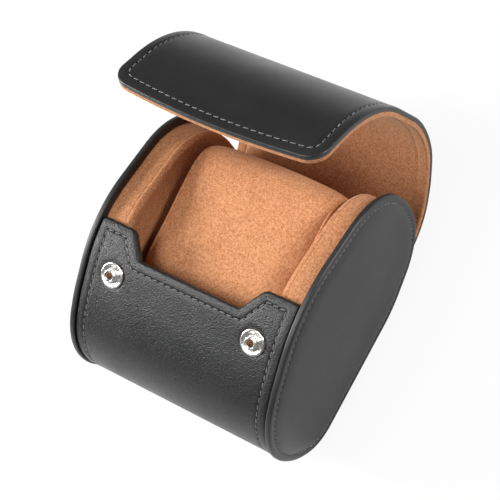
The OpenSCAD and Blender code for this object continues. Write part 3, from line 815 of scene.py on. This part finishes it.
# The lid's lining and the hinge strip use the blocks' tan suede drawn 0.9 times as light: painted shade.
lid_suede_painted_shade = suede("lid_suede_painted_shade", [c * 0.9 for c in TAN_LIGHT], [c * 0.9 for c in TAN_DARK])
LINING_IN = 0.12
LINING_ROUND = 0.6
LINING = leather_outline(LINING_IN)
LINING_START = S_HINGE + 1.4
LINING[:, 1] = np.where(LINING[:, 1] < 50, LINING_START, LINING[:, 1])


def lining_height(x, s):
    gap = edge_gap(x, s, LINING)
    rounding = np.clip(1 - gap / LINING_ROUND, 0, 1)
    low = -LID_T + LINING_ROUND * (1 - np.sqrt(1 - rounding ** 2))
    pressed = np.hypot(np.abs(x) - SNAP[0], s - S_LID_SNAP)
    return low + 0.22 * ridge(gap, 4.2, 0.4) + 0.42 * smooth((6.0 - pressed) / 1.2)


def narrowed(x, s):
    return x * (HALF_W - LINING_IN) / HALF_W, s


def lining_front(x, s):
    x, _ = narrowed(x, s)
    end = front_edge(x, HALF_W - LINING_IN, S_FRONT - LINING_IN, FLAP_CORNER - LINING_IN)
    share = np.clip((s - FRONT_START) / (S_FRONT - FRONT_START), 0, 1)
    return np.where(s < FRONT_START, s, FRONT_START + share * (end - FRONT_START))


lid_snap_rows = list(np.arange(S_LID_SNAP - 6.5, S_LID_SNAP + 6.6, 0.5))
start_rows = [LINING_START + e for e in EDGE_STEPS]
x, s, h, faces = skin(
    rows_to(LINING_START, S_FRONT, front_rows + fold_rows + lid_snap_rows + start_rows), [-2.6, -1.2],
    lining_height, front=lining_front, snaps=(S_LID_SNAP, SOCKET_HOLE), fit=narrowed,
)
lining = make("lid_lining", place(x, s, h), faces, lid_suede_painted_shade)
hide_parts("lid_back_lining", "flap_lining")
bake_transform(lining)

# A strip of the same suede carries the lining through the hinge fold, from the shell to the lid.
STRIP_IN, STRIP_REACH, STRIP_T = 0.8, 3.2, 0.5
across = np.linspace(-HALF_W + STRIP_IN, HALF_W - STRIP_IN, 40)
along = np.linspace(S_HINGE - STRIP_REACH, S_HINGE + STRIP_REACH, 15)
strip_depth = np.interp(along - S_HINGE, [-STRIP_REACH, -1, 1, STRIP_REACH], [-2.9, -3.0, -3.3, -3.5])
points, faces = [], []
for level in (0.0, STRIP_T):
    for s_row, depth in zip(along, strip_depth):
        points.extend(place(across, np.full(len(across), s_row), np.full(len(across), depth + level)))
count = len(across)
for base in (0, len(along) * count):
    for j in range(len(along) - 1):
        for i in range(count - 1):
            a = base + j * count + i
            faces.append((a, a + 1, a + 1 + count, a + count))
strip = make("hinge_lining", points, faces, lid_suede_painted_shade)
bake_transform(strip)

# ---- Snaps ------------------------------------------------------------------------------------------
# Nickel-plated brass, turned and pressed: dished studs riveted through the shell, cups with a ring of
# spring wire riveted into the flap. Handling leaves fine scratches on them.

nickel_shade = Shade("nickel")
scuff = nickel_shade.noise(0.5, 4, 0.65)
nickel = nickel_shade.finish(
    Base_Color=nickel_shade.mix(scuff, (0.70, 0.69, 0.67), (0.80, 0.79, 0.77)),
    Metallic=1.0,
    Roughness=scuff.band(0.3, 0.75, 0.2, 0.32),
    Normal=nickel_shade.bump(scuff, 0.0006),
)
wire_shade = Shade("spring_wire")
drawn = wire_shade.noise(2.0, 2)
wire = wire_shade.finish(
    Base_Color=wire_shade.mix(drawn, (0.35, 0.34, 0.33), (0.55, 0.54, 0.52)),
    Metallic=1.0,
    Roughness=drawn.band(0.3, 0.7, 0.28, 0.4),
)


def turned_metal(name, profile, side, body, opened=False, sides=56):
    """A piece turned about a snap's axis from (radius, height) points, in place of its node."""
    rings = []
    for radius, height in profile:
        around = polar(np.linspace(0, 360, sides + 1)[:-1])
        flat = snap_foot + radius * around[:, 1:] * slope_run + height * slope_normal
        if opened:
            flat = turned(flat, fold_mid, -np.full(sides, FLAP_OPEN))
            flat = turned(flat, hinge_mid, -np.full(sides, BACK_OPEN))
        rings.append(np.column_stack([side * SNAP[0] + radius * around[:, 0], flat]))
    points, faces = loft(rings + rings[:1])
    piece = make(f"{name}_turned", points, faces, nickel)
    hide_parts(name)
    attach(piece, body)


STUD = [
    (1.75, -0.4), (4.9, -0.4), (4.95, -0.34), (4.95, 0.1), (4.93, 0.25), (4.85, 0.42), (4.7, 0.54),
    (4.5, 0.6), (4.28, 0.59), (4.08, 0.54), (3.85, 0.42), (3.6, 0.3), (3.3, 0.22), (3.1, 0.2), (2.5, 0.2),
    (2.32, 0.26), (2.22, 0.4), (2.2, 0.55), (2.2, 0.85), (2.26, 1.0), (2.36, 1.12), (2.4, 1.25), (2.4, 1.9),
    (2.36, 2.06), (2.27, 2.18), (2.12, 2.26), (1.95, 2.3), (1.85, 2.26), (1.77, 2.15), (1.75, 2.0),
]
SOCKET = [
    (2.75, 0.0), (2.82, -0.02), (4.85, 0.0), (4.95, 0.08), (4.95, 0.3), (4.1, 0.3), (4.05, 0.36),
    (4.05, 2.33), (3.98, 2.4), (1.0, 2.4), (0.95, 2.34), (0.95, 2.05), (1.0, 2.0), (2.65, 2.0),
    (2.7, 1.94), (2.7, 1.0), (3.2, 1.0), (3.2, 0.4), (2.7, 0.4), (2.7, 0.05),
]


def dress(name, material):
    """Gives a CAD node its finish."""
    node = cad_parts[name]
    node.data.materials.clear()
    node.data.materials.append(material)


for side_name, side in SIDES:
    turned_metal(f"stud_{side_name}", STUD, side, "case")
    socket = [(radius, SNAP_GAP + height) for radius, height in SOCKET]
    turned_metal(f"socket_{side_name}", socket, side, "lid_flap", opened=True)
    for part in ("stud_rivet", "socket_rivet"):
        dress(f"{part}_{side_name}", nickel)
    dress(f"socket_spring_{side_name}", wire)

# ---- Boards, wadding and shell lining ---------------------------------------------------------------
# Grey millboard and cream wadding inside the leather, seen only when the case is taken apart, and the
# suede that lines the front and base of the shell.

board_shade = Shade("millboard")
fleck = board_shade.noise(0.9, 4, 0.7)
millboard = board_shade.finish(
    Base_Color=board_shade.mix(fleck, (0.30, 0.26, 0.20), (0.48, 0.42, 0.33)),
    Roughness=0.9,
    Normal=board_shade.bump(fleck, 0.05),
)
foam_shade = Shade("wadding")
cells = foam_shade.noise(1.4, 3, 0.7)
wadding = foam_shade.finish(
    Base_Color=foam_shade.mix(cells, (0.62, 0.59, 0.51), (0.85, 0.83, 0.76)),
    Roughness=0.95,
    Normal=foam_shade.bump(cells, 0.1),
)
for name in ("side_board_left", "side_board_right", "shell_board", "lid_back_board", "flap_board"):
    dress(name, millboard)
for name in ("side_pad_left", "side_pad_right", "block_left", "block_right", "pillow_core"):
    dress(name, wadding)
dress("shell_lining", tan_suede)

# ---- Pillow -----------------------------------------------------------------------------------------
# A foam core in a wadded suede cover. The cover is a band sewn to two end panels; the sides draw in at
# those seams, and the middle swells. The wadding gives a few millimetres under the closed lid.

PILLOW_W, PILLOW_L, PILLOW_H, PILLOW_LEAN = 64.0, 65.0, 56.0, 5.5
PILLOW_Y, PILLOW_Z = 13.7, 33.7
TOP_ROUND, LOW_ROUND = 14.5, 25.0
PILLOW_CORNERS = [(1, 1, TOP_ROUND), (-1, 1, TOP_ROUND), (-1, -1, LOW_ROUND), (1, -1, LOW_ROUND)]
pillow_suede = suede("pillow_suede", [c * 1.04 for c in TAN_LIGHT], [c * 1.1 for c in TAN_DARK])


def pillow_ring(x, inset, steps=9):
    """A section of the pillow at x, set in from its full size."""
    ring = []
    for q, (to_back, to_top, radius) in enumerate(PILLOW_CORNERS):
        r = radius - inset / 2
        middle = np.array([to_back * (PILLOW_L / 2 - inset - r), to_top * (PILLOW_H / 2 - inset - r)])
        for k in range(steps + 1):
            ring.append(middle + r * polar(90 * (q + k / steps)))
    ring = turned(np.array(ring), np.zeros(2), np.full(len(ring), PILLOW_LEAN))
    return np.column_stack([np.full(len(ring), x), ring + [PILLOW_Y, PILLOW_Z]])


START_IN = 0.5
SIDE_DRAW = 1.0
half = PILLOW_W / 2
stations = [(-half + START_IN, 10.0), (-half + START_IN, 3.6), (-half + START_IN + 0.6, 1.8)]
stations += [((half - START_IN - 1.6) * t, SIDE_DRAW * abs(t) ** 2.6) for t in np.linspace(-1, 1, 19)]
stations += [(-x, inset) for x, inset in stations[2::-1]]
rings = [pillow_ring(x, inset + START_IN) for x, inset in stations]
points, faces = loft(rings, cap=True)
points.append(np.mean(rings[0], axis=0))
count = len(rings[0])
faces.extend(((i + 1) % count, i, len(points) - 1) for i in range(count))
pillow = make("pillow_cover_skin", points, faces, pillow_suede)


def stuff(piece, cap_mm, voxel_mm=4.0, pressure=4.0, frames=20):
    """Swells a closed cover with cloth and pressure, and lets no point move further than the cap."""
    bpy.context.view_layer.objects.active = piece
    remesh = piece.modifiers.new("remesh", "REMESH")
    remesh.mode, remesh.voxel_size, remesh.use_smooth_shade = "VOXEL", voxel_mm * MM, True
    bpy.ops.object.modifier_apply(modifier=remesh.name)
    before = np.array([v.co for v in piece.data.vertices])
    cloth = piece.modifiers.new("cloth", "CLOTH")
    cloth.settings.use_pressure = True
    cloth.settings.uniform_pressure_force = pressure
    cloth.settings.effector_weights.gravity = 0
    cloth.settings.quality = 6
    for step in range(1, frames + 1):
        bpy.context.scene.frame_set(step)
    shaped = piece.evaluated_get(bpy.context.evaluated_depsgraph_get())
    after = np.array([v.co for v in shaped.data.vertices])
    piece.modifiers.clear()
    bpy.context.scene.frame_set(1)
    move = after - before
    length = np.linalg.norm(move, axis=1)
    move *= np.minimum(1, cap_mm * MM / np.maximum(length, 1e-9))[:, None]
    piece.data.vertices.foreach_set("co", (before + move).ravel())
    divide = piece.modifiers.new("divide", "SUBSURF")
    divide.levels = divide.render_levels = 1
    bpy.ops.object.modifier_apply(modifier=divide.name)
    piece.data.polygons.foreach_set("use_smooth", [True] * len(piece.data.polygons))


stuff(pillow, START_IN)
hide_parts("pillow_cover")
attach(pillow, "pillow")
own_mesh(pillow)

# The piped seams lie on the cover where the band meets the end panels.
PIPING_R, PIPING_IN = 0.8, 2.6
cover_points = [v.co for v in pillow.data.vertices]
cover = BVHTree.FromPolygons(cover_points, [p.vertices for p in pillow.data.polygons])
for side_name, side in SIDES:
    seam_x = side * (half - PIPING_IN)
    middle = Vector((seam_x, PILLOW_Y, PILLOW_Z)) * MM
    centres = []
    for a in np.linspace(0, 360, 121)[:-1]:
        way = Vector((0, *polar(a)))
        hit = cover.ray_cast(middle + way * 0.06, -way)[0]
        centres.append(np.array(hit) / MM)
    centres = np.array(centres)
    for _ in range(3):
        centres = (np.roll(centres, 1, 0) + 2 * centres + np.roll(centres, -1, 0)) / 4
    rings = []
    for i, centre in enumerate(centres):
        along = centres[(i + 1) % len(centres)] - centres[i - 1]
        along /= np.linalg.norm(along)
        out = np.cross(along, [side, 0, 0])
        rings.append([
            centre + PIPING_R * (math.cos(t) * np.array([1, 0, 0]) + math.sin(t) * out)
            for t in np.linspace(0, 2 * math.pi, 11)[:-1]
        ])
    rings.append(rings[0])
    points, faces = loft(rings)
    piping = make(f"pillow_piping_{side_name}", points, faces, pillow_suede)
    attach(piping, "pillow")
    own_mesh(piping)

# ---- Floor, light and camera ------------------------------------------------------------------------
# A pale floor and sky that show white, soft lights at the front left and overhead, a strip at the right
# rear, and a long lens from above the right-hand front corner.

FLOOR_HALF = 1500
FLOOR_SEEN, FLOOR_MIRRORED = 0.9, 0.1
floor_shade = Shade("floor")
path = "ShaderNodeLightPath"
seen = floor_shade.node(path, output="Is Camera Ray")
mirrored = floor_shade.node(path, output="Is Glossy Ray")
white = floor_shade.node("ShaderNodeEmission", {}, {"Color": (1, 1, 1), "Strength": 1.0})
matte = floor_shade.node("ShaderNodeBsdfDiffuse", {}, {"Color": (0.7, 0.7, 0.7)})
share = seen * FLOOR_SEEN + mirrored * FLOOR_MIRRORED
both = floor_shade.node("ShaderNodeMixShader", {}, {0: share, 1: matte, 2: white})
floor_shade.node("ShaderNodeOutputMaterial", {}, {"Surface": both})
floor_corners = [(x * FLOOR_HALF, y * FLOOR_HALF, 0) for x, y in ((-1, -1), (1, -1), (1, 1), (-1, 1))]
floor = make("floor", floor_corners, [(0, 1, 2, 3)], floor_shade.material)

AMBIENT, SKY_MIRRORED = 0.13, 0.07
sky_shade = Shade("studio", bpy.data.worlds)
sky_seen = sky_shade.node(path, output="Is Camera Ray") + sky_shade.node(path, output="Is Transmission Ray")
sky_mirrored = sky_shade.node(path, output="Is Glossy Ray")
sky = sky_shade.node(
    "ShaderNodeBackground", {},
    {"Color": (1, 1, 1), "Strength": AMBIENT + sky_seen * (1 - AMBIENT) + sky_mirrored * SKY_MIRRORED},
)
sky_shade.node("ShaderNodeOutputWorld", {}, {"Surface": sky})
bpy.context.scene.world = sky_shade.material


def lamp(name, place_mm, toward_mm, size_mm, watts):
    """A soft box that faces a point of the case."""
    data = bpy.data.lights.new(name, "AREA")
    data.shape, data.energy = "RECTANGLE", watts
    data.size, data.size_y = (side_mm * MM for side_mm in size_mm)
    light = bpy.data.objects.new(name, data)
    light.location = Vector(place_mm) * MM
    light.rotation_euler = (Vector(toward_mm) - Vector(place_mm)).to_track_quat("-Z", "Y").to_euler()
    bpy.context.scene.collection.objects.link(light)


lamp("soft_key", (-560, -210, 390), (0, 0, 45), (240, 240), 8.0)
lamp("soft_top", (-60, -200, 700), (0, 0, 40), (280, 280), 3.6)
lamp("strip_right", (440, 300, 300), (40, 10, 50), (110, 300), 2.9)

camera_data = bpy.data.cameras.new("camera")
camera_data.lens, camera_data.sensor_width = 108, 36
camera = bpy.data.objects.new("camera", camera_data)
right, up, back = (0.8209, 0.4827, -0.3052), (-0.3667, 0.8553, 0.3661), (0.4377, -0.1886, 0.8791)
turn = Matrix([right, up, back]).transposed().to_4x4()
turn.translation = Vector((247.4, -95.3, 539.7)) * MM
camera.matrix_world = turn
bpy.context.scene.collection.objects.link(camera)
bpy.context.scene.camera = camera
bpy.context.scene.view_settings.view_transform = "Standard"
